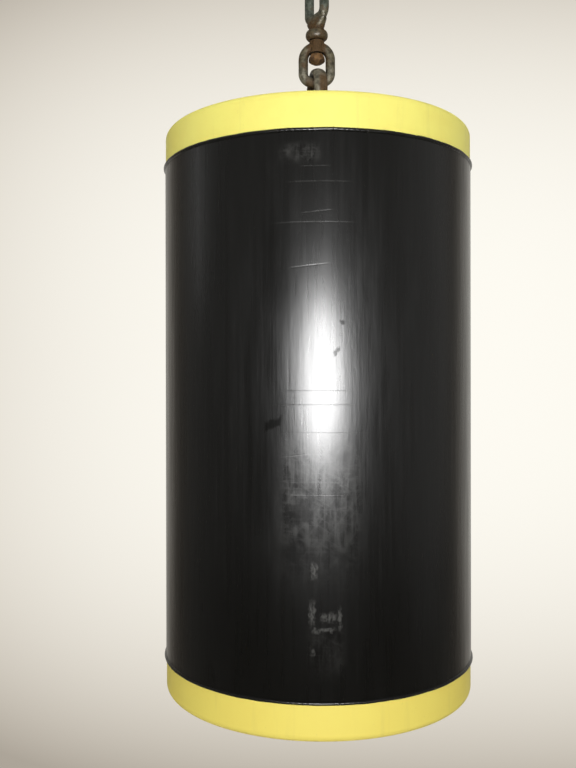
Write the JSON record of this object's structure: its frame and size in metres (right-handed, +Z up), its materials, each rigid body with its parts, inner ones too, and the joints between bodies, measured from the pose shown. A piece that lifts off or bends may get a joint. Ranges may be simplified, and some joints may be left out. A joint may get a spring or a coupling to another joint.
{
  "type": "mooring buoy",
  "caption": "Cylindrical mooring buoy: black pipe body, yellow end caps, tie rod with eye nuts, hung from a chain swivel.",
  "frame": {"origin": "hanging point: the inside of the swivel eye's top crown, where the hook or shackle above bears", "axes": "+Z up along the float's axis, +X to the right seen from the front, in the plane of the swivel bail"},
  "size_m": [0.405, 0.405, 1.012],
  "materials": {
    "black_pipe": "black polyethylene, satin, scuffed",
    "yellow_cap": "moulded yellow plastic, satin",
    "galvanised": "dull hot-dip galvanised",
    "rusty_steel": "bare steel, rusted"
  },
  "bodies": {
    "swivel_eye": {"swivel_eye": "galvanised", "swivel_head": "rusty_steel"},
    "swivel_bail": {"swivel_bail": "galvanised"},
    "float": {"top_eye_nut": "galvanised", "top_lock_nut": "galvanised", "top_plate": "galvanised", "tie_rod": "galvanised", "top_cap": "yellow_cap", "top_weld_bead": "black_pipe", "pipe_shell": "black_pipe", "bottom_weld_bead": "black_pipe", "bottom_cap": "yellow_cap", "bottom_plate": "galvanised", "bottom_eye_nut": "galvanised"}
  },
  "joints": [
    {"name": "swivel_turn", "type": "hinge", "parent": "swivel_eye", "child": "swivel_bail", "pos_m": [0, 0, -0.0795], "axis": [0, 0, 1], "continuous": true},
    {"name": "float_swing", "type": "hinge", "parent": "swivel_bail", "child": "float", "pos_m": [0, 0, -0.1263], "axis": [0.9781, 0.2079, 0], "range_deg": [-60, 60]}
  ]
}
